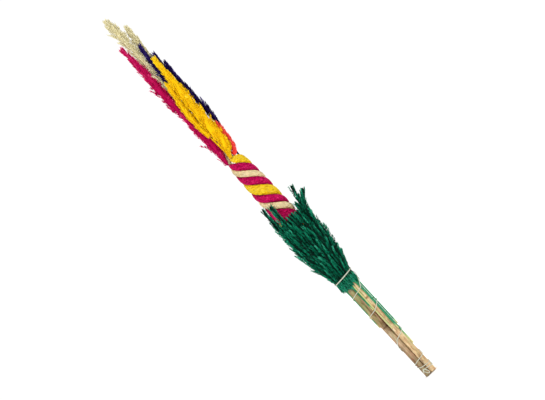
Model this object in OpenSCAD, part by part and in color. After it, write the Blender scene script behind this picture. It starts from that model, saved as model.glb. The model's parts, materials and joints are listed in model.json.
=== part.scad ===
// Easter palm: a stick of bundled reeds bound with thread, with a collar of green
// dyed grass, four dyed strands twisted round the reeds, and loose plumes on top.
// Millimetres. +Z runs up the stick, and the origin is the middle of the cut butt end.
// The front of the palm looks along -Y.

/* [Reeds] */
// Radius of each reed at the butt
reed_r = 3.4; // [3:0.1:3.6]
// Radius of each reed inside the top of the wrap
reed_top_r = 3; // [2.6:0.1:3.2]
// Radius of a reed's hollow
reed_bore_r = 1.9; // [1:0.1:2.2]
// Height at which the longest reed ends
reed_len = 296; // [270:1:298]

/* [Wrap] */
// Outer radius of the twisted wrap at its foot
wrap_r = 13; // [12:0.1:14]
// Radius of the wrap at its top
wrap_top_r = 10.2; // [9.8:0.1:12]
// Height of the wrap's hidden foot
wrap_foot_z = 190; // [186:1:200]
// Height that a strand climbs in one turn
wrap_lead = 45; // [40:1:60]

/* [Green collar] */
// Radius of the collar where the thread pinches it
neck_r = 12; // [11:0.1:13]
// Height of the neck tie
neck_z = 136; // [130:1:140]
// Distance from the stick's axis to the middle of the collar's outer heads, where they are fattest
collar_r = 16; // [15.5:0.1:16.5]
// Sideways lean of the collar at its widest
collar_lean = 1; // [0:0.1:1.2]

/* [Thread] */
// Radius of the cotton thread
thread_r = 0.45; // [0.3:0.05:0.6]

/* [Hidden] */
$fn = 48;
X_AXIS = [1, 0, 0];
Z_AXIS = [0, 0, 1];
reed_pitch = reed_r + 0.05;           // half the distance between neighbouring reeds
bore_wall = 1.2;                      // thickness of the wall across a reed's joint
green_stem_r = 0.85;
sheath_wall = 0.35;
strand_in_r = 8.6;                    // inner radius of the strands
strand_edge_drop = 2.4;               // how far a strand's edges lie below its crown
strand_gap_deg = 1.2;                 // half the gap between neighbouring strands
strand_step_deg = 15;                 // turn of a strand between one ring and the next
grass_sides = 8;
plume_sides = 10;
thread_sides = 6;
thread_step_deg = 10;                 // turn of the binding thread between one ring and the next

// Each reed: name, side in X, side in Y, height of its top, heights of its joints.
REEDS = [
    ["reed_front_left", -1, -1, reed_len - 4, [68, 176, 262]],
    ["reed_front_right", 1, -1, reed_len, [104, 214]],
    ["reed_back_left", -1, 1, reed_len - 9, [40, 150, 246]],
    ["reed_back_right", 1, 1, reed_len - 6, [88, 196, 280]],
];

// Each strand, going round the wrap: name, angle that it fills above the collar, height of its top.
STRANDS = [
    ["magenta_strand_a", 88, 303],
    ["cream_strand", 70, 300],
    ["magenta_strand_b", 90, 296],
    ["yellow_strand", 112, 306],
];
first_cross_z = 292.6;                // height at which the first strand crosses the front

// The green heads stand in an outer and an inner ring, twelve to a ring.
// Each head: the angle, distance from the axis and height of its tip, then for a long-stemmed
// grass the angle of its stem on the handle, the stem's layer there and the height of its cut end.
HEADS_IN_RING = 12;
OUTER_HEADS = [
    [2, 23.2, 240], [32, 19, 217], [60, 18.6, 212],
    [88, 18, 218, 92, 0, 45], [122, 18.6, 214], [150, 18, 227, 150, 0, 70],
    [181, 15.3, 242], [208, 17.6, 213], [241, 15.6, 239],
    [268, 17.8, 218, 268, 0, 89], [302, 17.6, 216, 316, 0, 58], [345, 30, 231, 336, 1, 62],
];
INNER_HEADS = [
    [15, 15.6, 222], [45, 15.4, 215], [75, 15.6, 221], [105, 15.4, 212],
    [135, 15.6, 219], [165, 15.4, 223], [195, 15.6, 214, 195, 0, 83], [225, 15.4, 217],
    [255, 15.6, 216], [285, 15.4, 219, 281, 0, 62], [315, 15.6, 217, 328, 0, 36],
    [345, 15.4, 224, 344, 0, 52],
];
GRASSES = concat(OUTER_HEADS, INNER_HEADS);
STUB_Z = 123;                         // height of the short-stemmed grasses' cut ends

// Each plume's route from its foot to its tip, as x, y, z and the radius there.
PLUMES = [
    ["yellow_plume_a", [[-1, -9.3, 306.5, 2], [-0.4, -9.1, 312, 2.2], [4.2, -8, 321, 4.8],
        [4.5, -7.8, 340, 5.8], [5.2, -7.4, 365, 5.6], [7, -6.6, 400, 4.4], [9.4, -6, 437, 0.9]]],
    ["yellow_plume_b", [[-0.8, -6.6, 200, 0.7], [-0.8, -6.6, 298, 0.7], [-1.8, -5, 312, 0.9],
        [-2.6, -4.5, 330, 1.1], [-3.6, -4.8, 348, 2.3], [-4, -5.2, 362, 2.9], [-2.6, -5.2, 382, 2.7],
        [1.2, -5.4, 407, 0.8]]],
    ["magenta_plume_a", [[-9.3, -1, 303.6, 2], [-7.8, -0.6, 313, 2.5], [-7.2, 0.2, 328, 4],
        [-7.2, 0.4, 341, 4.6], [-8.3, -0.2, 353, 3.6], [-8.6, -1.4, 374, 0.9]]],
    ["magenta_plume_b", [[1.2, 9.3, 296.5, 1.4], [-2, 9.6, 325, 1.6], [-5.8, 7.4, 350, 2],
        [-8, 4.4, 380, 3.8], [-8.4, 2, 410, 4.4], [-8, 0.5, 434, 3.5], [-9, 0, 467, 0.8]]],
    ["cream_plume_a", [[-6.3, 6.9, 300.5, 1.6], [-2.6, 5.4, 332, 1.3], [-2.2, 3.4, 375, 1.8],
        [-1.2, 2.6, 402, 2.8], [-0.2, 1.8, 440, 3.6], [0, 0.8, 470, 4.4], [-1, 0.2, 488, 4.7],
        [-1.2, 0, 500, 2.4]]],
    ["cream_plume_b", [[0.8, 6.6, 200, 0.7], [0.8, 6.6, 298, 0.7], [3.2, 8.5, 350, 1],
        [4.8, 7, 400, 1.6], [6.4, 5, 436, 2.5], [8.4, 3.4, 464, 3.4], [10.4, 3, 481, 1.4]]],
    ["navy_plume_a", [[6.6, -0.8, 200, 0.7], [6.6, -0.8, 300, 0.7], [11.8, -0.8, 328, 1],
        [14, -1, 352, 2.8], [13.9, -0.8, 380, 2.4], [14, -1, 403, 2.1], [15.2, -1, 427, 0.8]]],
    ["navy_plume_b", [[-0.8, 6.6, 200, 0.7], [-0.8, 6.6, 298, 0.7], [1.6, 3.6, 345, 1.6],
        [2.8, 0.2, 385, 2.2], [3.4, -1.4, 412, 2.3], [5.6, -1.8, 438, 2.3], [7, -1.6, 457, 0.8]]],
    ["navy_plume_c", [[6.6, 0.8, 200, 0.7], [6.6, 0.8, 300, 0.7], [7, 2.2, 345, 1.4],
        [8.6, 1.6, 385, 2], [10.6, 0.4, 415, 2], [12.6, -1.6, 441, 0.7]]],
    ["coral_plume", [[0.8, -6.6, 200, 0.7], [1.4, -6.7, 296, 0.8], [6.6, -5.4, 309.5, 2.8],
        [9.6, -3.2, 320, 1.9], [10.8, -2.9, 334, 0.9], [11.1, -3.2, 344, 0.6]]],
];

// The binding thread's height as it turns down the stick, clockwise seen from above.
// It is at the right at 0 degrees, in front at -90 and at the left at -180.
THREAD_ROUTE = [
    [30, 134], [0, 130], [-30, 124.5], [-77, 116], [-180, 109.5],
    [-360, 95.2], [-450, 88.3], [-540, 84.3],
    [-720, 54.6], [-810, 49.6], [-900, 40.7],
    [-1080, 21.3], [-1170, 18.8], [-1260, 16.9],
    [-1440, 9.9], [-1530, 11.2], [-1620, 13.9],
    [-1800, 6], [-1890, 8], [-1910, 9],
];

// ---- Functions ----

function unit(v) = v / norm(v);

function polar(angle, radius, z) = [radius * cos(angle), radius * sin(angle), z];

// One point of a Catmull-Rom curve between b and c. It works on routes of any width.
function curve_point(a, b, c, d, t) =
    0.5 * (2 * b + (c - a) * t + (2 * a - 5 * b + 4 * c - d) * t * t + (3 * b - a - 3 * c + d) * t * t * t);

// A smooth route through the points, with steps rings in each stretch.
function smooth_route(points, steps) = let (last = len(points) - 1) [
    for (i = [0:last - 1]) for (k = [0:steps - 1])
        curve_point(points[max(i - 1, 0)], points[i], points[i + 1], points[min(i + 2, last)], k / steps),
    points[last]
];

// How far from the axis a rod of radius r lies when it rests on the reeds at this angle.
function resting_r(angle, r) = let (
    a = abs(((angle % 90) + 90) % 90 - 45),
    along = norm([reed_pitch, reed_pitch]) * cos(a),
    reach = reed_r + r + 0.05
) along + sqrt(max(reach * reach - 2 * reed_pitch * reed_pitch + along * along, 0));

// The seat of a rod of radius r in a layer of rods on the handle: 0 rests on the reeds.
function seat_r(angle, layer, r) = resting_r(angle, r) + layer * 2.05 * r;

// The discs that a level cut through the handle shows: x, y and radius.
function discs_at(z) = concat(
    [for (r = REEDS) [r[1] * reed_pitch, r[2] * reed_pitch, reed_r]],
    [[-reed_pitch, -reed_pitch, z > sheath_z0 - 1 ? reed_r + sheath_wall + 0.05 : reed_r]],
    [for (i = [0:len(GRASSES) - 1])
        if (len(GRASSES[i]) > 3 && z > GRASSES[i][5] - 1) grass_disc(grass_route(i), z)],
    [[0, 0, lookup(z, [[STUB_Z - 4, 0], [STUB_Z - 2, neck_r]])]]
);

// A route's disc at height z.
function grass_disc(route, z) = [for (k = [0, 1, 3]) lookup(z, [for (p = route) [p[2], p[k]]])];

// The point of the discs' outline that faces this way, moved out by the thread's radius.
function outline_point(angle, z) = let (
    n = [cos(angle), sin(angle)],
    discs = discs_at(z),
    reach = [for (d = discs) d[0] * n[0] + d[1] * n[1] + d[2]],
    d = discs[search(max(reach), reach)[0]],
    r = d[2] + thread_r + 0.06
) [d[0] + r * n[0], d[1] + r * n[1], z];

// The thread goes round the outline at an even slope between the heights that its route states.
function thread_route() = let (
    first = THREAD_ROUTE[0][0],
    last = THREAD_ROUTE[len(THREAD_ROUTE) - 1][0],
    path = [for (a = [first:-thread_step_deg:last]) outline_point(a, lookup(a, THREAD_ROUTE))],
    run = [for (i = 0, s = 0; i < len(path); s = s + flat_gap(path, i), i = i + 1) s],
    run_at = [for (i = [0:len(path) - 1]) [first - i * thread_step_deg, run[i]]],
    heights = [for (t = THREAD_ROUTE) [lookup(t[0], run_at), t[1]]]
) [for (i = [0:len(path) - 1]) [path[i][0], path[i][1], lookup(run[i], heights), thread_r]];

function flat_gap(path, i) =
    i + 1 < len(path) ? norm([path[i + 1][0] - path[i][0], path[i + 1][1] - path[i][1]]) : 0;

// A skin over rings of points, every ring with the same number of points. Each ring runs
// anticlockwise seen from the next one. A looped skin joins its last ring to its first.
module skin(rings, looped = false) {
    sides = len(rings[0]);
    last = len(rings) - 1;
    walls = [for (i = [0:looped ? last : last - 1]) for (j = [0:sides - 1])
        let (next = (i + 1) % len(rings), k = (j + 1) % sides)
        let (a = i * sides + j, b = i * sides + k, c = next * sides + j, d = next * sides + k)
        each [[a, c, d], [a, d, b]]
    ];
    foot = [for (j = [0:sides - 1]) j];
    head = [for (j = [sides - 1:-1:0]) last * sides + j];
    ends = looped ? [] : [foot, head];
    polyhedron(points = [for (ring = rings) each ring], faces = concat(ends, walls));
}

// A round rod along a route of x, y, z and radius. The route never runs along the reference.
module sweep(route, sides, reference) {
    last = len(route) - 1;
    at = [for (p = route) [p[0], p[1], p[2]]];
    skin([for (i = [0:last])
        let (
            along = unit(at[min(i + 1, last)] - at[max(i - 1, 0)]),
            u = unit(reference - (reference * along) * along),
            v = cross(along, u),
            r = max(route[i][3], 0.3)
        )
        [for (j = [0:sides - 1]) at[i] + r * (cos(360 * j / sides) * u + sin(360 * j / sides) * v)]
    ]);
}

// ---- Reeds ----

// A hollow reed, with a swollen joint and a wall across the hollow at each of its joints.
module reed(side_x, side_y, top_z, joints) {
    stops = concat([-bore_wall], joints, [top_z + bore_wall]);
    translate([side_x * reed_pitch, side_y * reed_pitch, 0]) difference() {
        union() {
            cylinder(h = top_z, r1 = reed_r,
                r2 = reed_top_r + (reed_r - reed_top_r) * (1 - top_z / reed_len));
            for (z = joints) translate([0, 0, z]) joint_ring(z);
        }
        for (i = [0:len(stops) - 2])
            translate([0, 0, stops[i] + bore_wall / 2])
                cylinder(h = stops[i + 1] - stops[i] - bore_wall, r = reed_bore_r);
    }
}

// The collar of a joint stands out only where no neighbouring reed touches it.
module joint_ring(z) {
    r = reed_r - (reed_r - reed_top_r) * z / reed_len;
    rotate_extrude()
        translate([r - 0.6, 0])
            polygon([[0, -1.6], [0.6, -1.2], [0.64, 0], [0.6, 1.2], [0, 1.6]]);
}

// A dry leaf sheath that clasps the outer side of the front left reed.
sheath_z0 = 69;
sheath_z1 = 119;
module leaf_sheath() {
    color("tan") translate([-reed_pitch, -reed_pitch, sheath_z0]) rotate([0, 0, 176])
        rotate_extrude(angle = 108)
            translate([reed_r + 0.03, 0]) square([sheath_wall, sheath_z1 - sheath_z0]);
}

// ---- Green collar ----

// The part of a grass below its head: a stem down the handle, or a stub under the neck.
function stem_points(g, angle, neck, r) = len(g) > 3
    ? let (seat = seat_r(g[3], g[4], green_stem_r))
        [[g[3], seat, g[5], green_stem_r], [g[3], seat, STUB_Z - 6, green_stem_r],
            [angle, neck - 0.2, STUB_Z + 5, r]]
    : [[angle, neck - 0.2, STUB_Z + 2 * sin(70 * angle), r]];

// The route of one green grass, from its cut end through the neck to its tip.
function grass_route(i) = let (
    g = GRASSES[i],
    outer = i < HEADS_IN_RING,
    angle = 360 / HEADS_IN_RING * (i % HEADS_IN_RING + (outer ? 0 : 0.5)),
    neck = outer ? neck_r - 1.65 : resting_r(angle, 0.95),
    neck_part_r = outer ? 1.55 : 0.95,
    flare_z = neck_z + 2,
    full_z = neck_z + 36,
    top_z = neck_z + 56,
    points = concat(stem_points(g, angle, neck, neck_part_r), [[angle, neck, flare_z, neck_part_r]],
        outer ? [
            [angle, collar_r - 2.8, neck_z + 15, 2.85],
            [angle, collar_r, full_z, 3.9],
            [angle, collar_r + 1.6, top_z, 3.45],
            [angle + 0.4 * turn_to(g[0], angle), collar_r + 1.6 + 0.3 * (g[1] - collar_r - 1.6),
                top_z + 0.6 * (g[2] - top_z), 2.8],
        ] : [
            [angle, collar_r - 6.1, neck_z + 15, 1.5],
            [angle, collar_r - 4.9, full_z, 2],
            [angle, collar_r - 0.7, wrap_foot_z - 1, 1.15],
            [angle, collar_r - 0.6, wrap_foot_z + 12, 1.15],
        ],
        [[g[0], g[1], g[2], outer ? 1.1 : 0.8]])
) [for (p = points) [p[1] * cos(p[0]) + lean_at(p[2]), p[1] * sin(p[0]), p[2], p[3]]];

function turn_to(a, b) = ((a - b + 540) % 360) - 180;

function lean_at(z) = collar_lean * lookup(z, [[neck_z, 0], [neck_z + 60, 1]]);

module green_grass(i) {
    color("seagreen") sweep(smooth_route(grass_route(i), 3), grass_sides, X_AXIS);
}

// ---- Thread ----

// Two turns of thread side by side round the collar's neck, higher at the right.
module neck_tie() {
    color("ivory") translate([0, 0, neck_z]) rotate([0, -7, 0])
        for (side = [-1, 1]) translate([0, 0, side * 1.01 * thread_r])
            rotate_extrude() translate([neck_r + thread_r + 0.05, 0]) circle(thread_r);
}

module binding_thread() {
    color("ivory") sweep(thread_route(), thread_sides, Z_AXIS);
}

// The thread's end, tied in a long loop that lies on the front of the left reed.
loop_r = 1.5;
loop_len = 4.4;

// A cut across the loop at angle a, on its upper half (end 1) or its lower half (end -1).
// The thread swells into the knot at the top of the upper half.
function loop_ring(a, end) = let (
    middle = polar(a, loop_r, 0) + [0, end * loop_len / 2, 0],
    r = thread_r * (end == 1 ? 1 + 0.8 * pow(sin(a), 6) : 1)
) [for (t = [0:30:330]) middle + polar(a, r * cos(t), 0) - [0, 0, r * sin(t)]];

module thread_knot() {
    upper = [for (a = [0:15:180]) loop_ring(a, 1)];
    lower = [for (a = [180:15:360]) loop_ring(a, -1)];
    color("ivory") translate([-2.6, -reed_pitch - reed_r - 3.6 * thread_r, 5])
        rotate([90, 0, 0]) rotate([0, 0, 28]) skin(concat(upper, lower), looped = true);
}

// ---- Wrap ----

// The wrap's outer radius: even at first, then narrowing to its top.
function wrap_r_at(z) =
    lookup(z, [[256, wrap_r], [290, 0.35 * wrap_r + 0.65 * wrap_top_r + 0.6], [302, wrap_top_r]]);

// The angle that strand i fills at height z. Near the collar magenta_strand_b spreads, and
// the yellow strand narrows by as much.
function share_at(i, z) = STRANDS[i][1] + (i == 2 ? 1 : i == 3 ? -1 : 0) * lookup(z, [[226, 104], [248, 0]]);

// The angle at height z of the middle of strand i. Strands turn back as they rise: left-handed.
function strand_angle(i, z) = -90 - 360 * (z - first_cross_z) / wrap_lead - (i == 0 ? 0 : beside(i, z));
function beside(i, z) = (share_at(i - 1, z) + share_at(i, z)) / 2 + (i > 1 ? beside(i - 1, z) : 0);

// A strand's level cut: a bean that fills its share of the ring round the reeds, and
// shrinks over its last few millimetres.
function strand_ring(i, z) = let (
    full = sqrt(min(1, 0.15 + (STRANDS[i][2] - z) / 6)),
    half = (share_at(i, z) / 2 - strand_gap_deg) * full,
    middle = strand_angle(i, z),
    out_r = strand_in_r + (wrap_r_at(z) - strand_in_r) * full,
    drop = min(strand_edge_drop, (out_r - strand_in_r) * 0.6),
    outer = [for (t = [-1:0.25:1]) polar(middle + half * t, out_r - drop * (1 - cos(90 * t)), z)],
    inner = [for (t = [1:-0.4:-1]) polar(middle + half * t, strand_in_r, z)]
) concat(outer, inner);

module strand(i) {
    top_z = STRANDS[i][2];
    step = wrap_lead * strand_step_deg / 360;
    heights = concat([for (z = [wrap_foot_z:step:top_z - 0.5 * step]) z], [top_z]);
    skin([for (z = heights) strand_ring(i, z)]);
}

function dye(name) =
    name[0] == "y" ? "gold" : name[0] == "m" ? "mediumvioletred" : name[0] == "n" ? "midnightblue"
    : name[1] == "r" ? "wheat" : "tomato";

module plume(route) {
    sweep(smooth_route(route, 3), plume_sides, X_AXIS);
}

for (r = REEDS) color("burlywood") reed(r[1], r[2], r[3], r[4]);
leaf_sheath();
for (i = [1:len(GRASSES)]) green_grass(i - 1);
neck_tie();
binding_thread();
thread_knot();
for (i = [0:len(STRANDS) - 1])
    color(dye(STRANDS[i][0])) strand(i);
for (p = PLUMES) color(dye(p[0])) plume(p[1]);
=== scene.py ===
"""Looks of the Easter palm: reeds bound with thread, a collar of green grass heads, four
dyed strands twisted round the reeds, and loose plumes. Metres, in the frame's own axes."""

import json
import math

import bpy
import numpy as np
from mathutils import Matrix, Vector

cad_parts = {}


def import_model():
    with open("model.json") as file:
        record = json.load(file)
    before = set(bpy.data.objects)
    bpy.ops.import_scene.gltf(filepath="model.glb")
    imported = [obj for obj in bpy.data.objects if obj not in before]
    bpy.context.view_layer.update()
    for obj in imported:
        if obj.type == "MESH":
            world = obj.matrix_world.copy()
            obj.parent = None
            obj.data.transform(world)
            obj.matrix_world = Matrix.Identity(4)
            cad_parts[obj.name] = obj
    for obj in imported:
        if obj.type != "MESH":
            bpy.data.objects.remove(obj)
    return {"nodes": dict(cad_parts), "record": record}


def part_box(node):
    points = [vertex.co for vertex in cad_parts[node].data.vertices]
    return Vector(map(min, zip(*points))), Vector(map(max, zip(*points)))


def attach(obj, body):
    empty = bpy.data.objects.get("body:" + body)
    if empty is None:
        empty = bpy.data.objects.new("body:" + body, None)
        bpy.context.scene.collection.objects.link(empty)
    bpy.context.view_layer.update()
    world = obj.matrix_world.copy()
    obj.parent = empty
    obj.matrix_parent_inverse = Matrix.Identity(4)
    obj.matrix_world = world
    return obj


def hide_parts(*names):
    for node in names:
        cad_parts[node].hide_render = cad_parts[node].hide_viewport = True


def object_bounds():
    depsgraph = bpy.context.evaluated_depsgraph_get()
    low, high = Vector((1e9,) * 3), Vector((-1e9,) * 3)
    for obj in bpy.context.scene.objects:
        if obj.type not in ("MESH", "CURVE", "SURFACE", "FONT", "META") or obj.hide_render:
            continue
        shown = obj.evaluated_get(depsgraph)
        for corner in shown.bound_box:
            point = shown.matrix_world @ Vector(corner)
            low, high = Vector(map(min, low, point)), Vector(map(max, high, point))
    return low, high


MM = 0.001
FULL_TURN = 2 * math.pi
GOLDEN_ANGLE = math.pi * (3 - math.sqrt(5))
GRASS_SIDES = 8                       # corners in one ring of a green grass's CAD node
PLUME_SIDES = 10                      # the same for a plume's
THREAD_SIDES = 6                      # and for the binding thread's

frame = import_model()
cad_low, cad_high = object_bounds()
slot_of = {part["node"]: part["material_slot"] for part in frame["record"]["subparts"]}
rng = np.random.default_rng(7)


# ---- Reading the frame's nodes ----


def corners_and_links(node):
    """A CAD node's distinct corners, and the pairs of them that an edge joins."""
    mesh = frame["nodes"][node].data
    places = np.zeros(len(mesh.vertices) * 3)
    mesh.vertices.foreach_get("co", places)
    corners, same = np.unique(np.round(places.reshape(-1, 3), 5), axis=0, return_inverse=True)
    ends = np.zeros(len(mesh.edges) * 2, int)
    mesh.edges.foreach_get("vertices", ends)
    return corners, same.reshape(-1)[ends].reshape(-1, 2)


def swept_rings(node, sides, upright=True):
    """Centre and radius of each ring of a swept CAD node, from its upper end down. An upright
    node's end ring is its highest corners, and any other's is those nearest its highest corner."""
    corners, links = corners_and_links(node)
    neighbours = [set() for _ in corners]
    for a, b in links:
        neighbours[a].add(b)
        neighbours[b].add(a)
    top = corners[np.argmax(corners[:, 2])]
    depth = top[2] - corners[:, 2] if upright else np.linalg.norm(corners - top, axis=1)
    ring = set(np.argsort(depth)[:sides].tolist())
    seen = set(ring)
    rows = []
    while ring:
        points = corners[sorted(ring)]
        centre = points.mean(axis=0)
        rows.append([*centre, np.linalg.norm(points - centre, axis=1).mean()])
        ring = {n for corner in ring for n in neighbours[corner]} - seen
        seen |= ring
    return np.array(rows)


class Route:
    """A smooth line through rows of x, y, z and radius, read by the distance run along it.
    It runs on past the last row by the length beyond."""

    SMOOTHINGS = 3
    STEADY = np.array([0.3, 1, 0.1])  # the first way across a route is square to this direction

    def __init__(self, rows, step, beyond=0.0):
        if beyond:
            on = rows[-1] + np.append(unit(rows[-1, :3] - rows[-2, :3]) * beyond, 0)
            rows = np.vstack([rows, on])
        run = np.concatenate([[0], np.cumsum(np.linalg.norm(np.diff(rows[:, :3], axis=0), axis=1))])
        self.length = run[-1]
        self.run = np.linspace(0, self.length, max(int(self.length / step), 2) + 1)
        self.at = np.column_stack([np.interp(self.run, run, rows[:, k]) for k in range(4)])
        for _ in range(self.SMOOTHINGS):
            self.at[1:-1] = 0.25 * self.at[:-2] + 0.5 * self.at[1:-1] + 0.25 * self.at[2:]
        along = np.gradient(self.at[:, :3], axis=0)
        self.along = along / np.linalg.norm(along, axis=1)[:, None]

    def point(self, run):
        return np.column_stack([np.interp(run, self.run, self.at[:, k]) for k in range(3)])

    def radius(self, run):
        return np.interp(run, self.run, self.at[:, 3])

    def frame_at(self, run):
        """Unit vectors along the route and across it, two ways."""
        along = unit(np.column_stack([np.interp(run, self.run, self.along[:, k]) for k in range(3)]))
        across = unit(np.cross(along, self.STEADY))
        return along, across, np.cross(along, across)


def unit(v):
    return v / np.linalg.norm(v, axis=-1, keepdims=True)


# ---- Building meshes ----


class Pile:
    """Gathers many small surfaces, with a tone from 0 to 1 at each corner, into one mesh."""

    def __init__(self):
        self.corners = []
        self.tones = []
        self.faces = []
        self.slots = []
        self.count = 0

    def add(self, corners, faces, tone, slot=0):
        corners = np.asarray(corners, float).reshape(-1, 3)
        faces = np.asarray(faces, int)
        self.corners.append(corners)
        self.tones.append(np.broadcast_to(np.asarray(tone, float), len(corners)).copy())
        self.faces.append(faces + self.count)
        self.slots.append(np.full(len(faces), slot))
        self.count += len(corners)

    def piece(self, name, materials):
        mesh = bpy.data.meshes.new(name)
        mesh.vertices.add(self.count)
        mesh.vertices.foreach_set("co", np.concatenate(self.corners).ravel())
        totals = np.concatenate([np.full(len(f), f.shape[1]) for f in self.faces])
        mesh.loops.add(int(totals.sum()))
        mesh.loops.foreach_set("vertex_index", np.concatenate([f.ravel() for f in self.faces]))
        mesh.polygons.add(len(totals))
        mesh.polygons.foreach_set("loop_start", np.concatenate([[0], np.cumsum(totals)[:-1]]))
        mesh.polygons.foreach_set("material_index", np.concatenate(self.slots))
        mesh.polygons.foreach_set("use_smooth", np.ones(len(totals), bool))
        for material in materials:
            mesh.materials.append(material)
        tone = mesh.attributes.new("tone", "FLOAT", "POINT")
        tone.data.foreach_set("value", np.clip(np.concatenate(self.tones), 0, 1))
        mesh.update(calc_edges=True)
        mesh.validate()
        piece = bpy.data.objects.new(name, mesh)
        bpy.context.scene.collection.objects.link(piece)
        return piece


def tube(pile, rings, tone, slot=0, closed=True):
    """A skin over rings of corners: an array of rings, each of the same number of points."""
    count, sides = rings.shape[:2]
    i = np.arange(count - 1)[:, None] * sides
    j = np.arange(sides)[None, :]
    k = (j + 1) % sides
    walls = np.stack([i + j, i + k, i + sides + k, i + sides + j], axis=-1).reshape(-1, 4)
    tone = np.broadcast_to(tone, (count, sides))
    pile.add(rings, walls, tone.ravel(), slot)
    if closed:
        lid(pile, rings[0], tone[0], -1, slot)
        lid(pile, rings[-1], tone[-1], 1, slot)


def lid(pile, ring, tone, turn, slot=0):
    """A fan of triangles over a ring. A turn of 1 faces on along the rings, and -1 back."""
    j = np.arange(len(ring))
    fan = np.stack([j, (j + 1) % len(ring), np.full(len(ring), len(ring))], axis=-1)[:, ::turn]
    pile.add(np.vstack([ring, ring.mean(axis=0)]), fan, np.mean(tone), slot)


def round_rings(route, run, radius, sides, ridge=0.0, ridges=0, twist=0.0):
    """Rings round a route. A ridge is a share of the radius, repeated round it, with a twist."""
    _, across, over = route.frame_at(run)
    angle = np.linspace(0, FULL_TURN, sides, endpoint=False)[None, :]
    swell = 1 + ridge * np.cos(ridges * (angle - twist * run[:, None]))
    spread = (np.broadcast_to(radius, run.shape)[:, None] * swell)[..., None]
    circle = np.cos(angle)[..., None] * across[:, None] + np.sin(angle)[..., None] * over[:, None]
    return route.point(run)[:, None] + spread * circle


# A grain has a foot (0), four corners round its belly (1 to 4) and a tip (5), and is darker at its
# foot, as painted shade where it lies in among the other grains, and paler at its tip, as a painted
# highlight where it sticks out.
GRAIN_FACES = [[0, 2, 1], [0, 3, 2], [0, 4, 3], [0, 1, 4], [5, 1, 2], [5, 2, 3], [5, 3, 4], [5, 4, 1]]
GRAIN_PAINTED_SHADING = np.array([-0.22, 0, 0, 0, 0, 0.12])


def grains(pile, foot, way, length, width, tone, belly=0.35):
    """Many pointed grains or bristles, each from its foot along its way. The belly is the share of
    its length at which it is widest."""
    count = len(foot)
    way = unit(way)
    length, width = (np.broadcast_to(v, count)[:, None] for v in (length, width))
    side = unit(np.cross(way, rng.normal(size=(count, 3))))
    over = np.cross(way, side)
    waist = foot + way * length * belly
    tip = foot + way * length
    corners = np.stack([
        foot,
        waist + side * width / 2,
        waist + over * width / 3,
        waist - side * width / 2,
        waist - over * width / 3,
        tip,
    ], axis=1)
    first = np.arange(count)[:, None, None] * len(GRAIN_PAINTED_SHADING)
    faces = (first + np.array(GRAIN_FACES)[None]).reshape(-1, 3)
    pile.add(corners, faces, (np.broadcast_to(tone, count)[:, None] + GRAIN_PAINTED_SHADING).ravel())


HAIR_WIDTH = 0.18 * MM
FOOT_BACK = 0.4                       # how far behind its place a grain's foot is, in grains
MIDDLE_DEPTH = 0.8                    # how far out a grain has the middle tone, in the head's radius
LEAN_AT_FOOT = 0.34                   # how far out a spray's foot is, in the head's radius
SPINDLE_AT_FOOT = 0.5                 # a spray's own radius at its foot, in the head's radius
SPINDLE_LOSS = 0.32                   # and how much less it is at the spray's tip


def head(pile, route, start, end, style):
    """A grass head round the route from start to end: a core, and side sprays of grains round it."""
    core(pile, route, start, end, style)
    run, share, turn, stray, shade = spray_grains(start, end, style)
    out, way, depth = spray_places(route, run, turn, share, stray, style)
    length = style["grain"] * rng.uniform(0.7, 1.25, len(run))
    # Painted shade and light: a grain's tone is darker the deeper in the head it lies, and paler further out
    # than MIDDLE_DEPTH.
    tone = style["middle"] + style["depth"] * (depth - MIDDLE_DEPTH) + shade
    tone = tone + rng.normal(0, style["mottle"], len(run))
    tone = tone + style["pale_tip"] * ((run - start) / (end - start)) ** 6
    at = route.point(run) + out - way * length[:, None] * FOOT_BACK
    grains(pile, at, way, length, style["width"], tone)
    hairs = rng.uniform(0, 1, len(run)) < style["hairs"]
    grains(pile, at[hairs], way[hairs], length[hairs] * 1.3, HAIR_WIDTH, tone[hairs] + 0.1, belly=0.2)


def core(pile, route, start, end, style):
    """The solid middle of a head, which closes the gaps between its grains. Its darker tone is painted
    shade seen in those gaps.
    """
    run = np.linspace(start, end, max(int((end - start) / (2 * MM)), 4))
    size = np.maximum(route.radius(run), style["least"]) * style["core"] * style["swell"]
    size[[0, -1]] *= 0.4
    rings = round_rings(route, run, size, 12, ridge=0.14, ridges=3, twist=90)
    tube(pile, rings, style["core_painted_shade"])


def spray_grains(start, end, style):
    """The grains of a head's side sprays: how far along the route and how high up its spray each
    one is, and its spray's turn round the route, its stray and its shade."""
    sprays = max(int((end - start) / style["spray_gap"]), 6)
    foot = np.linspace(start - 0.25 * style["spray"], end - style["taper"] * style["spray"], sprays)
    foot = foot + rng.uniform(-0.5, 0.5, sprays) * style["spray_gap"]
    reach = style["spray"] * rng.uniform(0.7, 1.3, sprays)
    turn = np.arange(sprays) * GOLDEN_ANGLE + rng.uniform(-0.5, 0.5, sprays)
    stray = np.where(rng.uniform(size=sprays) < style["stray"], rng.uniform(1.3, 1.8, sprays), 1)
    shade = rng.uniform(-1, 1, sprays) * style["patchy"]
    spray = np.repeat(np.arange(sprays), style["grains"])
    share = rng.uniform(0, 1, len(spray))
    run = foot[spray] + share * reach[spray]
    inside = (run > start) & (run < end)
    spray = spray[inside]
    return run[inside], share[inside], turn[spray], stray[spray], shade[spray]


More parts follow.
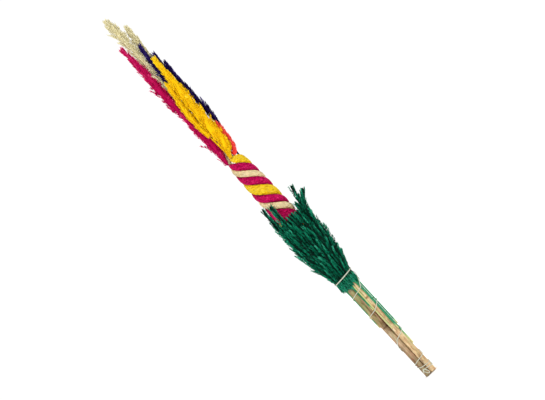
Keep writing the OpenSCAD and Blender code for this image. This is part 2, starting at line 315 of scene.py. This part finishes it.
def spray_places(route, run, turn, share, stray, style):
    """For grains in side sprays: their offset from the stalk, their way and how far out they are.
    A spray is a spindle that leans out from the stalk as it rises: share is the height up it."""
    room = np.maximum(route.radius(run), style["least"]) * style["swell"]
    along, across, over = route.frame_at(run)
    outward = np.cos(turn)[:, None] * across + np.sin(turn)[:, None] * over
    around = rng.uniform(0, FULL_TURN, (len(run), 1))
    push = np.cos(around) * outward + np.sin(around) * np.cross(along, outward)
    lean = (LEAN_AT_FOOT + style["lean"] * share * stray) * room
    spindle = (SPINDLE_AT_FOOT - SPINDLE_LOSS * share) * room * rng.uniform(0.4, 1, len(run))
    out = lean[:, None] * outward + spindle[:, None] * push
    tilt = (style["tilt"] * rng.uniform(0.2, 1.3, len(run)) * stray)[:, None]
    way = along + tilt * (0.8 * outward + 0.6 * push) + rng.normal(0, 0.05, (len(run), 3))
    return out, unit(way), np.linalg.norm(out, axis=1) / room


# ---- Materials ----

NOISE_RANGE = (0.3, 0.7)              # where nearly all of the noise lies
STREAK_RANGE = (0.5, 0.66)            # the noise at which a streak begins, and is at its fullest
STREAK_STEP = 3.7                     # keeps one streak's noise apart from the next one's
ROUGH_SPREAD = 0.12


class Shading:
    """A material's nodes. Each step takes and gives back sockets."""

    def __init__(self, name, stretch):
        self.material = bpy.data.materials.new(name)
        self.material.use_nodes = True
        self.nodes = self.material.node_tree.nodes
        self.links = self.material.node_tree.links
        place = self.nodes.new("ShaderNodeTexCoord")
        self.scale = self.nodes.new("ShaderNodeMapping")
        self.scale.inputs["Scale"].default_value = (1, 1, 1 / stretch)
        self.links.new(place.outputs["Object"], self.scale.inputs["Vector"])

    def noise(self, size, offset=0.0):
        texture = self.nodes.new("ShaderNodeTexNoise")
        texture.noise_dimensions = "4D"
        texture.inputs["Scale"].default_value = size
        texture.inputs["Detail"].default_value = 4
        texture.inputs["Roughness"].default_value = 0.65
        texture.inputs["W"].default_value = offset
        self.links.new(self.scale.outputs["Vector"], texture.inputs["Vector"])
        return texture.outputs["Fac"]

    def spread(self, value, low, high, source=(0, 1)):
        """The value, taken from the source range to the range from low to high."""
        node = self.nodes.new("ShaderNodeMapRange")
        node.inputs["From Min"].default_value = source[0]
        node.inputs["From Max"].default_value = source[1]
        node.inputs["To Min"].default_value = low
        node.inputs["To Max"].default_value = high
        self.links.new(value, node.inputs["Value"])
        return node.outputs["Result"]

    def tone_with(self, blotch):
        """The tone stored at each corner, plus the blotch."""
        tone = self.nodes.new("ShaderNodeAttribute")
        tone.attribute_name = "tone"
        mix = self.nodes.new("ShaderNodeMath")
        mix.operation = "ADD"
        self.links.new(tone.outputs["Fac"], mix.inputs[0])
        self.links.new(blotch, mix.inputs[1])
        return mix.outputs["Value"]

    def ramp(self, value, colours):
        """The colours in even steps, as the value goes from 0 to 1."""
        ramp = self.nodes.new("ShaderNodeValToRGB")
        stops = ramp.color_ramp.elements
        while len(stops) < len(colours):
            stops.new(0.5)
        for number, colour in enumerate(colours):
            stops[number].position = number / (len(colours) - 1)
            stops[number].color = (*(linear(c) for c in colour), 1)
        self.links.new(value, ramp.inputs["Fac"])
        return ramp.outputs["Color"]

    def tint(self, base, colour, amount):
        blend = self.nodes.new("ShaderNodeMix")
        blend.data_type = "RGBA"
        blend.inputs["B"].default_value = (*(linear(c) for c in colour), 1)
        self.links.new(amount, blend.inputs["Factor"])
        self.links.new(base, blend.inputs["A"])
        return blend.outputs["Result"]

    def relief(self, height, strength):
        relief = self.nodes.new("ShaderNodeBump")
        relief.inputs["Strength"].default_value = strength
        relief.inputs["Distance"].default_value = 0.3 * MM
        self.links.new(height, relief.inputs["Height"])
        return relief.outputs["Normal"]


def surface(
    name, colours, rough=0.8, gloss=0.08, fleck=260, fleck_share=0.07, stretch=1.0, bump=0.25, streaks=()
):
    """Plant matter: the tone at each corner, with fine flecks over it, picks from the colours.
    Streaks are further colours, each with how strongly it tints its patches."""
    shading = Shading(name, stretch)
    flecks = shading.noise(fleck)
    blotch = shading.spread(flecks, -fleck_share, fleck_share, NOISE_RANGE)
    colour = shading.ramp(shading.tone_with(blotch), colours)
    for number, (tint, share) in enumerate(streaks):
        noise = shading.noise(fleck / 2, STREAK_STEP * (number + 1))
        colour = shading.tint(colour, tint, shading.spread(noise, 0, share, STREAK_RANGE))
    shader = shading.nodes["Principled BSDF"]
    dull = shading.spread(flecks, rough - ROUGH_SPREAD, rough + ROUGH_SPREAD)
    shading.links.new(colour, shader.inputs["Base Color"])
    shading.links.new(dull, shader.inputs["Roughness"])
    shading.links.new(shading.relief(flecks, bump), shader.inputs["Normal"])
    shader.inputs["Specular IOR Level"].default_value = gloss
    return shading.material


def linear(value):
    """A display value from 0 to 1 as light."""
    return value / 12.92 if value <= 0.04045 else ((value + 0.055) / 1.055) ** 2.4


def rgb(*values):
    return tuple(v / 255 for v in values)


# Each list of colours runs from the darkest tone to the palest, but a stem's from straw to green.
DYES = {
    "green_grass": [rgb(0, 14, 10), rgb(0, 50, 36), rgb(0, 98, 70), rgb(4, 132, 96), rgb(60, 172, 138)],
    "magenta_grass": [rgb(66, 0, 22), rgb(136, 0, 52), rgb(184, 4, 80), rgb(210, 14, 98), rgb(236, 76, 136)],
    "yellow_grass": [
        rgb(164, 108, 0), rgb(222, 166, 0), rgb(250, 204, 8), rgb(255, 222, 36), rgb(255, 238, 110),
    ],
    "natural_grass": [
        rgb(142, 126, 74), rgb(196, 182, 126), rgb(222, 211, 162), rgb(238, 230, 190), rgb(248, 244, 220),
    ],
    "navy_grass": [rgb(6, 0, 22), rgb(14, 2, 46), rgb(28, 10, 78), rgb(46, 28, 108), rgb(92, 76, 156)],
    "coral_grass": [
        rgb(150, 20, 24), rgb(222, 48, 46), rgb(252, 76, 70), rgb(255, 96, 88), rgb(255, 150, 130),
    ],
}
dyed = {slot: surface(slot, colours) for slot, colours in DYES.items()}
CREAM = [rgb(176, 124, 66), rgb(242, 212, 152), rgb(254, 236, 190), rgb(255, 244, 214)]
strand_cream = surface("natural_strand", CREAM)
STEM = [
    rgb(212, 194, 130), rgb(190, 196, 132), rgb(140, 180, 120),
    rgb(58, 154, 102), rgb(12, 118, 78), rgb(0, 80, 56),
]
stem_green = surface("green_stem", STEM, rough=0.5, gloss=0.3, stretch=14, fleck=500, bump=0.15)
CANE = {
    "reed": [rgb(84, 56, 30), rgb(156, 120, 80), rgb(208, 176, 130), rgb(230, 206, 162), rgb(242, 226, 192)],
    "grey_reed": [
        rgb(60, 42, 25), rgb(106, 84, 57), rgb(142, 119, 90), rgb(170, 147, 114), rgb(200, 180, 148),
    ],
}
BROWN, GREENISH, PINKISH = rgb(98, 62, 32), rgb(146, 160, 104), rgb(216, 148, 118)
cane = {
    name: surface(
        name, colours, rough=0.55, gloss=0.2, stretch=4, fleck=480, fleck_share=0.3, bump=0.3,
        streaks=((BROWN, 0.8), (GREENISH, 0.55), (PINKISH, 0.45)),
    )
    for name, colours in CANE.items()
}
LEAF = [rgb(66, 46, 28), rgb(112, 92, 60), rgb(150, 134, 94), rgb(180, 166, 124)]
leaf_skin = surface(
    "dry_leaf", LEAF, rough=0.75, stretch=4, fleck=480, fleck_share=0.3, bump=0.4,
    streaks=((BROWN, 0.9), (GREENISH, 0.7), (PINKISH, 0.3)),
)
COTTON = [rgb(150, 150, 134), rgb(194, 196, 178), rgb(220, 222, 206)]
cotton = surface("thread", COTTON, rough=0.85, fleck=2400, bump=0.4)


# ---- Reeds ----

JOINTS = {                            # heights of the joints, as the CAD has them
    "reed_front_left": (0.068, 0.176, 0.262),
    "reed_front_right": (0.104, 0.214),
    "reed_back_left": (0.040, 0.150, 0.246),
    "reed_back_right": (0.088, 0.196, 0.280),
}
REED_SIDES = 40
BORE = 0.56                           # a hollow's radius, as a share of the reed's
BORE_RINGS = 6                        # how many rings up the reed its open hollow goes
FIRST_RIBS, MORE_RIBS = 5, 3          # ribs in the first set round a reed, and more in each next set
RIB_SETS = 5
RIB_DEPTH = 0.007                     # as a share of the reed's radius
JOINT_RISE = 0.10 * MM
JOINT_GROOVE = 0.12 * MM


def reed(node):
    """A hollow reed with fine ribs, swollen joints, blotches where it has weathered, and painted shade on
    the sides that face its neighbours and in its hollow.
    """
    low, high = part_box(node)
    centre = (low + high) / 2
    z = reed_heights(high.z, np.array(JOINTS[node]))
    angle = np.linspace(0, FULL_TURN, REED_SIDES, endpoint=False)[None, :]
    phases = rng.uniform(0, FULL_TURN, RIB_SETS)
    inward = np.maximum(-np.sign(centre.x) * np.cos(angle), -np.sign(centre.y) * np.sin(angle))
    inward = np.clip(inward, 0, 1)
    size = ribbed(centre, z, angle, inward, phases)
    tone = 0.6 + 0.12 * np.cos(angle * 2 + phases[1] + z * 20) + 0.12 * np.cos(z * 130 + phases[2] + angle)
    for joint in JOINTS[node]:
        off = (z - joint) / MM
        size = size + JOINT_RISE * np.exp(-((off - 0.7) ** 2))
        size = size - JOINT_GROOVE * np.exp(-((off + 0.6) ** 2) * 2)
        tone = tone - 0.42 * np.exp(-((off + 0.4) ** 2) / 1.6)
    # Painted shade on the sides that face the neighbouring reeds, and a darker tone for the last few
    # millimetres up from the cut foot.
    tone = tone - 0.12 * inward ** 3 - 0.2 * np.exp(-z / (3 * MM))
    flat = [centre.x + size * np.cos(angle), centre.y + size * np.sin(angle)]
    rings = np.stack([*flat, z + 0 * angle], axis=-1)
    rings[0, :, 2] += 0.25 * MM * (1 + np.cos(3 * angle[0] + phases[0]))
    pile = reed_walls(rings, tone, np.array([centre.x, centre.y]))
    return pile.piece(node + "_cane", [cane["grey_reed" if node.endswith("left") else "reed"]])


def reed_heights(top, joints):
    """Heights of a reed's rings, closer together near its joints."""
    plain = np.linspace(0, top, int(top / (2.4 * MM)))
    near = (joints[:, None] + np.linspace(-3, 3, 9) * MM).ravel()
    return np.unique(np.concatenate([plain, near]))[:, None]


def ribbed(centre, z, angle, inward, phases):
    """Radius of a reed with fine ribs on the sides that don't face its neighbours."""
    radius = abs(centre.x)            # half the distance to the next reed, so that they touch
    size = radius * (1.002 - 0.008 * z / z[-1]) * np.ones_like(angle)
    for number, phase in enumerate(phases):
        ribs = FIRST_RIBS + MORE_RIBS * number
        size = size - radius * RIB_DEPTH * (1 - inward) * (1 + np.cos(ribs * angle + phase + z * 9))
    return size


def reed_walls(rings, tone, middle):
    """A reed's outside, the hollow at its cut end, darkest deepest in as painted shade, and its closed end
    up in the wrap.
    """
    bore = rings[:BORE_RINGS].copy()
    bore[:, :, :2] = middle + (bore[:, :, :2] - middle) * BORE
    pile = Pile()
    tube(pile, rings, tone, closed=False)
    # The hollow's wall darkens inward and its end lid is dark: painted shade in the recess.
    tube(pile, bore[::-1], np.linspace(0, 0.3, BORE_RINGS)[:, None], closed=False)
    tube(pile, np.stack([bore[0], rings[0]]), 0.62, closed=False)
    lid(pile, bore[-1], 0.1, -1)
    lid(pile, rings[-1], 0.3, 1)
    return pile


LEAF_FROM, LEAF_TO = 176, 284         # the sides of the reed that the leaf covers, in degrees
LEAF_STANDS = 0.28 * MM               # how far its outside lies off the reed
LEAF_WALL = 0.2 * MM
TEAR = 1.6 * MM


def sheath(node):
    """The dry leaf round the front left reed, with a torn lower edge."""
    low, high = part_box(node)
    reed_low, reed_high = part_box("reed_front_left")
    centre = (reed_low + reed_high) / 2
    radius = (reed_high.x - reed_low.x) / 2
    z = np.linspace(low.z, high.z, 46)[:, None]
    angle = np.radians(np.linspace(LEAF_FROM, LEAF_TO, 22))[None, :]
    tear = TEAR * (1 + np.sin(angle * 17) * np.sin(angle * 5 + 1)) * np.exp(-(z - low.z) / (2 * MM))
    wave = 0.07 * MM * np.cos(angle * 26) + 0.05 * MM * np.cos(z * 300 + angle * 4)
    outer = radius + LEAF_STANDS + wave
    walls = [
        np.stack([centre.x + size * np.cos(angle), centre.y + size * np.sin(angle), z + tear], axis=-1)
        for size in (outer, outer - LEAF_WALL)
    ]
    rings = np.concatenate([walls[0], walls[1][:, ::-1]], axis=1)
    stain = np.exp(-((z - low.z - 27 * MM) / (5 * MM)) ** 2 - ((angle - angle.max()) / 0.35) ** 2)
    shade = 0.62 + 0.1 * np.cos(angle * 9) + 0.1 * np.cos(z * 210) - 0.55 * stain
    tone = np.concatenate([shade, shade[:, ::-1]], axis=1)
    pile = Pile()
    tube(pile, rings, tone)
    return pile.piece("leaf_sheath_skin", [leaf_skin])


# ---- Green collar ----

# A head's style. spray, spray_gap: length of a side spray, and the rise from one to the next.
# grains, grain, width: how many a spray has, and their length and width. lean, tilt: how far sprays
# and grains lean out. hairs: the share of grains with a hair beside them. stray: the share of sprays
# that stick out further. middle: the tone, which varies by mottle from grain to grain, by patchy from
# spray to spray and by depth outward, as painted shade: darker deeper in and paler further out.
# least: the least radius. swell: radius, in the CAD radius. core, core_painted_shade: the core's radius, in
# the head's, and its darker tone, painted shade seen in the gaps between grains. taper: how far below
# the tip the last spray starts, in sprays. pale_tip: how much paler the tip is.
GREEN = {
    "spray": 15 * MM, "spray_gap": 2.4 * MM, "grains": 44, "grain": 3.6 * MM, "width": 0.75 * MM,
    "lean": 0.85, "tilt": 0.4, "hairs": 0.4, "mottle": 0.08, "patchy": 0.22, "depth": 0.6,
    "least": 2.2 * MM, "stray": 0.2, "core": 0.62, "core_painted_shade": 0.08, "middle": 0.46,
    "swell": 1, "taper": 0.7, "pale_tip": 0,
}
STUB_DROP = 15 * MM                   # the longest cut stub, down from where the head starts
STUB_R = 1.45 * MM
STUB_BLADES = 110
tie_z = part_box("neck_tie")[1].z       # the top of the neck tie


def green_grass(node):
    """One green grass: its stem below the neck, if it is a long one, its cut leaves, and its head."""
    route = Route(swept_rings(node, GRASS_SIDES)[::-1], 2 * MM, beyond=3 * MM)
    heights = route.at[:, 2]
    start = float(np.interp(tie_z - 3 * MM, heights, route.run))
    pile = Pile()
    if heights[0] < tie_z - 2 * STUB_DROP:
        long_stem(pile, route, np.arange(0, start, 1.2 * MM))
    cut_leaves(pile, route, start)
    head(pile, route, start, route.length, GREEN)
    return pile.piece(node + "_spray", [dyed["green_grass"], stem_green])


def long_stem(pile, route, run):
    """A stem on the handle: straw at its cut end and green higher up. The long one in the front
    groove is pale all the way."""
    at = route.point(run)
    pale = abs(at[0, 0]) < 3 * MM and at[0, 1] < 0 and at[0, 2] < 75 * MM
    rise = (at[:, 2] - at[0, 2]) / max(12 * MM, 70 * MM - at[0, 2])
    tone = np.clip(rise, 0, 0.2 if pale else 0.7) + 0.04 * np.cos(run * 900)
    rings = round_rings(route, run, route.radius(run) * 0.9, 12, ridge=0.05, ridges=5)
    tube(pile, rings, tone[:, None], slot=1)


def cut_leaves(pile, route, start):
    """The cut leaves of a grass below the neck tie: a dark core, painted shade seen between the blades,
    and blades that point down.
    """
    drop = STUB_DROP * rng.uniform(0.6, 1)
    run = np.linspace(max(start - drop, 0), start + 2 * MM, 8)
    size = np.full(len(run), STUB_R)
    size[0] = 0.7 * MM
    tube(pile, round_rings(route, run, size, 8, ridge=0.1, ridges=3), 0.14)
    run = rng.uniform(max(start - 0.75 * drop, 0), start + 1 * MM, STUB_BLADES)
    along, across, over = route.frame_at(run)
    turn = rng.uniform(0, FULL_TURN, (STUB_BLADES, 1))
    outward = np.cos(turn) * across + np.sin(turn) * over
    foot = route.point(run) + outward * 1.1 * MM
    way = -along + outward * rng.uniform(0, 0.15, (STUB_BLADES, 1))
    way = way + rng.normal(0, 0.06, (STUB_BLADES, 3))
    tone = 0.76 + rng.normal(0, 0.16, STUB_BLADES)
    grains(pile, foot, way, rng.uniform(3, 7, STUB_BLADES) * MM, 0.7 * MM, tone, belly=0.5)


# ---- Thread ----

THREAD_R = 0.45 * MM                  # the CAD thread's radius
PLY_R = 0.38 * MM                     # mean radius: the plies' ridges reach nearly to THREAD_R
KNOT_PLY_R = 0.34 * MM
TIE_PLY_R = 0.27 * MM
TIE_PITCH = 0.6 * MM                  # between the neck tie's two turns
PLY_TURN = 3.2 * MM                   # of thread, in which the plies turn once round each other


def binding_thread(node):
    """Two-ply cotton along the CAD thread's own route."""
    pile = Pile()
    ply(pile, swept_rings(node, THREAD_SIDES, upright=False))
    return pile.piece("binding_thread_ply", [cotton])


def flat_ring(node):
    """A flat CAD node's corners and centre, and its directions: two in its plane and the normal."""
    corners, _ = corners_and_links(node)
    centre = (corners.min(axis=0) + corners.max(axis=0)) / 2
    _, _, ways = np.linalg.svd(corners - corners.mean(axis=0), full_matrices=False)
    return corners, centre, ways


def looped(centre, first, second, long_r, short_r, turns, pitch, normal):
    """Rows of a route of oval turns side by side."""
    angle = np.linspace(0, FULL_TURN * turns, 60 * turns + 1)
    shift = (angle / FULL_TURN - turns / 2) * pitch
    at = centre + np.cos(angle)[:, None] * long_r * first + np.sin(angle)[:, None] * short_r * second
    return thread_rows(at + shift[:, None] * normal)


def thread_rows(at):
    return np.column_stack([at, np.full(len(at), THREAD_R)])


def ply(pile, rows, size=PLY_R):
    """Cotton of two plies twisted together, along the rows."""
    route = Route(rows, 0.5 * MM)
    run = np.arange(0, route.length, 0.4 * MM)
    rings = round_rings(route, run, size, 12, ridge=0.16, ridges=2, twist=FULL_TURN / PLY_TURN)
    # The tone dips twice in each turn of the plies: painted shade of the grooves between them.
    tube(pile, rings, (0.6 + 0.2 * np.cos(run * FULL_TURN / (PLY_TURN / 2)))[:, None])


def neck_tie(node):
    """Two turns of thread, half way between the CAD tie's inner and outer radius."""
    corners, centre, (first, second, normal) = flat_ring(node)
    spread = np.linalg.norm((corners - centre) - ((corners - centre) @ normal)[:, None] * normal, axis=1)
    radius = (spread.min() + spread.max()) / 2
    pile = Pile()
    ply(pile, looped(centre, first, second, radius, radius, 2, TIE_PITCH, normal), TIE_PLY_R)
    return pile.piece("neck_tie_thread", [cotton])


def knot(node):
    """The thread's tied end: a long loop, the knot's two small turns, and a short tail."""
    corners, centre, (long_way, short_way, normal) = flat_ring(node)
    long_r = np.ptp(corners @ long_way) / 2 - 0.5 * MM
    short_r = 1.45 * MM
    if long_way[2] < 0:
        long_way = -long_way
    pile = Pile()
    ply(pile, looped(centre, long_way, short_way, long_r, short_r, 1, 0.3 * MM, normal))
    end = centre + long_way * (long_r - 0.5 * MM)
    turns = looped(end, short_way, normal, 0.75 * MM, 0.55 * MM, 2, 0.7 * MM, long_way)
    ply(pile, turns, KNOT_PLY_R)
    side = 1 if short_way[0] < 0 else -1
    tail = np.linspace(0, 1, 8)[:, None]
    at = end + tail * (3.2 * MM * short_way * side - 1.6 * MM * long_way * tail)
    ply(pile, thread_rows(at), KNOT_PLY_R)
    return pile.piece("thread_loop", [cotton])


# ---- Wrap ----


class Strand:
    """A twisted strand as its CAD node has it: middle angle, half width and radii at each height."""

    BULGE = 2.8                       # the higher, the flatter its outside and the rounder its edges
    CROWN_DROP = 0.5 * MM             # how far its grains' feet lie below the CAD strand's crown
    FILL = 0.985                      # how much of the CAD strand's width its grains take up

    def __init__(self, node):
        corners, _ = corners_and_links(node)
        self.z = np.unique(np.round(corners[:, 2], 4))
        rows = []
        for z in self.z:
            ring = corners[np.abs(corners[:, 2] - z) < 0.1 * MM]
            middle = math.atan2(ring[:, 1].mean(), ring[:, 0].mean())
            off = np.angle(np.exp(1j * (np.arctan2(ring[:, 1], ring[:, 0]) - middle)))
            size = np.hypot(ring[:, 0], ring[:, 1])
            rows.append((middle, np.abs(off).max(), size.min(), size.max()))
        rows = np.array(rows)
        self.middle = np.unwrap(rows[:, 0])
        self.half, self.inner, self.outer = rows[:, 1], rows[:, 2], rows[:, 3]

    def at(self, z, u, lift=0.0):
        """Points on the strand's bulging outside: u runs from -1 to 1 across it."""
        middle, half, inner, outer = (
            np.interp(z, self.z, row) for row in (self.middle, self.half, self.inner, self.outer)
        )
        round_off = np.sqrt(np.clip(1 - np.abs(u) ** self.BULGE, 0, 1))
        radius = inner + (outer - inner - self.CROWN_DROP) * round_off + lift
        angle = middle + half * self.FILL * u
        return np.stack(np.broadcast_arrays(radius * np.cos(angle), radius * np.sin(angle), z), axis=-1)


# A strand's style. loose: how far its grains turn aside. The other words are as for a head.
STRAND_STYLES = {
    "magenta_grass": {
        "grains": 4200, "grain": 3.2 * MM, "width": 1.1 * MM, "tilt": 0.24, "loose": 0.18,
        "mottle": 0.15, "middle": 0.58,
    },
    "yellow_grass": {
        "grains": 3400, "grain": 8 * MM, "width": 0.6 * MM, "tilt": 0.06, "loose": 0.08,
        "mottle": 0.11, "middle": 0.74,
    },
    "natural_grass": {
        "grains": 2800, "grain": 9 * MM, "width": 0.55 * MM, "tilt": 0.04, "loose": 0.05,
        "mottle": 0.08, "middle": 0.68,
    },
}


def strand(node):
    """A twisted bundle of dyed grass: a solid under-body with its grains or fibres laid along it."""
    shape = Strand(node)
    pile = Pile()
    under_body(pile, shape)
    laid_grains(pile, shape, STRAND_STYLES[slot_of[node]])
    material = strand_cream if slot_of[node] == "natural_grass" else dyed[slot_of[node]]
    return pile.piece(node + "_bundle", [material])


def under_body(pile, shape):
    """A strand's dark body, painted shade seen in the gaps between its grains: its outside a little
    below the grains, and its inside against the reeds.
    """
    z = np.arange(shape.z[0], shape.z[-1], 1.2 * MM)[:, None]
    u = np.linspace(-1, 1, 15)[None, :]
    outside = shape.at(z, u, -0.45 * MM)
    inside = shape.at(z, u[:, ::-2] * 0.98)
    flat = np.hypot(inside[..., 0], inside[..., 1])[..., None]
    inside[..., :2] *= (np.interp(z, shape.z, shape.inner)[..., None] / flat)
    tube(pile, np.concatenate([outside, inside], axis=1), 0.22)


def laid_grains(pile, shape, style):
    """A strand's grains or fibres, each laid along its twist and tilted a little outward."""
    count = style["grains"]
    z = rng.uniform(shape.z[0], shape.z[-1] - 0.5 * MM, count)
    u = np.clip(rng.uniform(-1, 1, count), -0.96, 0.96)
    foot = shape.at(z, u)
    ahead = shape.at(z + 0.5 * MM, u)
    way = unit(ahead - foot)
    outward = unit(foot * np.array([1, 1, 0]))
    across = np.cross(way, outward)
    way = way + outward * style["tilt"] * rng.uniform(0.2, 1.4, (count, 1))
    way = way + across * rng.normal(0, style["loose"], (count, 1))
    length = style["grain"] * rng.uniform(0.7, 1.2, count)
    # Grains near the strand's edges are darker: painted shade where the strand turns in beside the next.
    tone = style["middle"] - 0.25 * np.abs(u) ** 3 + rng.normal(0, style["mottle"], count)
    start = foot - unit(way) * length[:, None] * 0.5 - outward * 0.2 * MM
    grains(pile, start, way, length, style["width"], tone, belly=0.4)


# ---- Plumes ----

PLUME = {
    "spray": 13 * MM, "spray_gap": 1.3 * MM, "grains": 34, "grain": 4 * MM, "width": 0.6 * MM,
    "lean": 0.8, "tilt": 0.3, "hairs": 0.5, "mottle": 0.07, "patchy": 0.1, "depth": 0.3,
    "least": 1.7 * MM, "stray": 0.2, "core": 0.75, "core_painted_shade": 0.34, "middle": 0.58,
    "swell": 1, "taper": 0.7, "pale_tip": 0.2,
}
PLUME_OF = {
    "magenta_grass": PLUME | {"middle": 0.6, "core_painted_shade": 0.42, "swell": 1.28, "stray": 0.04},
    "yellow_grass": PLUME | {
        "stray": 0.05, "least": 2.3 * MM, "core": 0.8, "core_painted_shade": 0.4, "middle": 0.38, "swell": 1.08,
        "depth": 0.25, "mottle": 0.06, "patchy": 0.08, "hairs": 0.3, "width": 0.8 * MM,
    },
    "natural_grass": PLUME | {
        "depth": 0.2, "mottle": 0.04, "patchy": 0.06, "core": 0.55, "core_painted_shade": 0.5, "middle": 0.6,
        "taper": 0.45, "pale_tip": 0, "swell": 1.1, "grains": 46,
    },
    "navy_grass": PLUME | {"patchy": 0.24, "middle": 0.4},
    "coral_grass": PLUME | {"least": 2.6 * MM, "swell": 1.15, "stray": 0.05},
}


STALK_R = 0.75 * MM
HEAD_STARTS = 1.5 * MM                # the radius at which a plume's head begins


def plume(node):
    """One loose plume: a bare stalk where it is thin, then a soft spindle of grains."""
    route = Route(swept_rings(node, PLUME_SIDES)[::-1], 2 * MM, beyond=2 * MM)
    start = route.run[np.argmax(route.at[:, 3] > HEAD_STARTS)]
    pile = Pile()
    if start > 5 * MM:
        run = np.arange(0, start + 8 * MM, 1.5 * MM)
        size = np.minimum(route.radius(run), STALK_R)
        tube(pile, round_rings(route, run, size, 8, ridge=0.06, ridges=4), 0.35)
    head(pile, route, start, route.length, PLUME_OF[slot_of[node]])
    return pile.piece(node + "_spray", [dyed[slot_of[node]]])


# ---- Putting it together ----

MAKERS = {
    "reed": reed,
    "sheath": sheath,
    "green_grass": green_grass,
    "neck_tie": neck_tie,
    "thread_knot": knot,
    "binding_thread": binding_thread,
    "strand": strand,
    "plume": plume,
}


def make(node):
    for word, maker in MAKERS.items():
        if word in node:
            return maker(node)


for node in frame["nodes"]:
    piece = make(node)
    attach(piece, "root")
    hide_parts(node)


# ---- Floor, lights and camera ----

palm_length = cad_high.z - cad_low.z
middle = Vector(((cad_low.x + cad_high.x) / 2, 0, (cad_low.z + cad_high.z) / 2))
FLOOR_HALF = 6
FLOOR_DROP = 0.3 * MM                 # the floor lies this far below the palm's foot
PALE = (0.97, 0.97, 0.97, 1)
CAMERA_AWAY = 4 * palm_length
VIEW_WIDTH = 1.1404 * palm_length     # the picture's width where the palm stands
AIM = Vector((0.4 * MM, 0, 0.4898 * palm_length))
LEAN_DEG = 132.7                      # the palm's lean, anticlockwise from the picture's right


def floor():
    mesh = bpy.data.meshes.new("floor")
    half = FLOOR_HALF
    corners = [(-half, -half, 0), (half, -half, 0), (half, half, 0), (-half, half, 0)]
    mesh.from_pydata(corners, [], [(0, 1, 2, 3)])
    piece = bpy.data.objects.new("floor", mesh)
    bpy.context.scene.collection.objects.link(piece)
    piece.location.z = cad_low.z - FLOOR_DROP
    material = bpy.data.materials.new("floor")
    material.use_nodes = True
    shader = material.node_tree.nodes["Principled BSDF"]
    shader.inputs["Base Color"].default_value = PALE
    shader.inputs["Roughness"].default_value = 0.9
    mesh.materials.append(material)


def softbox(name, place, size, power):
    """A square light that faces the palm: its place from the palm's middle, in metres, and watts."""
    light = bpy.data.lights.new(name, "AREA")
    light.shape = "SQUARE"
    light.size = size
    light.energy = power
    lamp = bpy.data.objects.new(name, light)
    bpy.context.scene.collection.objects.link(lamp)
    lamp.location = middle + Vector(place)
    lamp.rotation_euler = (middle - lamp.location).to_track_quat("-Z", "Y").to_euler()


def world(strength):
    bpy.context.scene.world = bpy.data.worlds.new("studio")
    bpy.context.scene.world.use_nodes = True
    sky = bpy.context.scene.world.node_tree.nodes["Background"]
    sky.inputs["Color"].default_value = (1, 1, 1, 1)
    sky.inputs["Strength"].default_value = strength


def camera(distance, width, lean_deg, aim):
    """Looks along +Y at the front of the palm, and is rolled so that the palm leans in the picture."""
    data = bpy.data.cameras.new("camera")
    data.sensor_width = 36
    data.lens = data.sensor_width * distance / width
    rig = bpy.data.objects.new("camera", data)
    bpy.context.scene.collection.objects.link(rig)
    lean = math.radians(lean_deg)
    right = Vector((math.sin(lean), 0, math.cos(lean)))
    up = Vector((-math.cos(lean), 0, math.sin(lean)))
    turn = Matrix((right, up, (0, -1, 0))).transposed().to_4x4()
    rig.matrix_world = Matrix.Translation(aim - Vector((0, distance, 0))) @ turn
    bpy.context.scene.camera = rig


floor()
world(1.06)
softbox("key", (-1.0, -1.5, 1.2), 1.2, 12)
softbox("fill", (1.4, -1.2, 0.3), 1.6, 4)
softbox("back", (0.4, 1.6, 0.9), 1.4, 8)
camera(CAMERA_AWAY, VIEW_WIDTH, LEAN_DEG, AIM)
bpy.context.scene.view_settings.view_transform = "Standard"
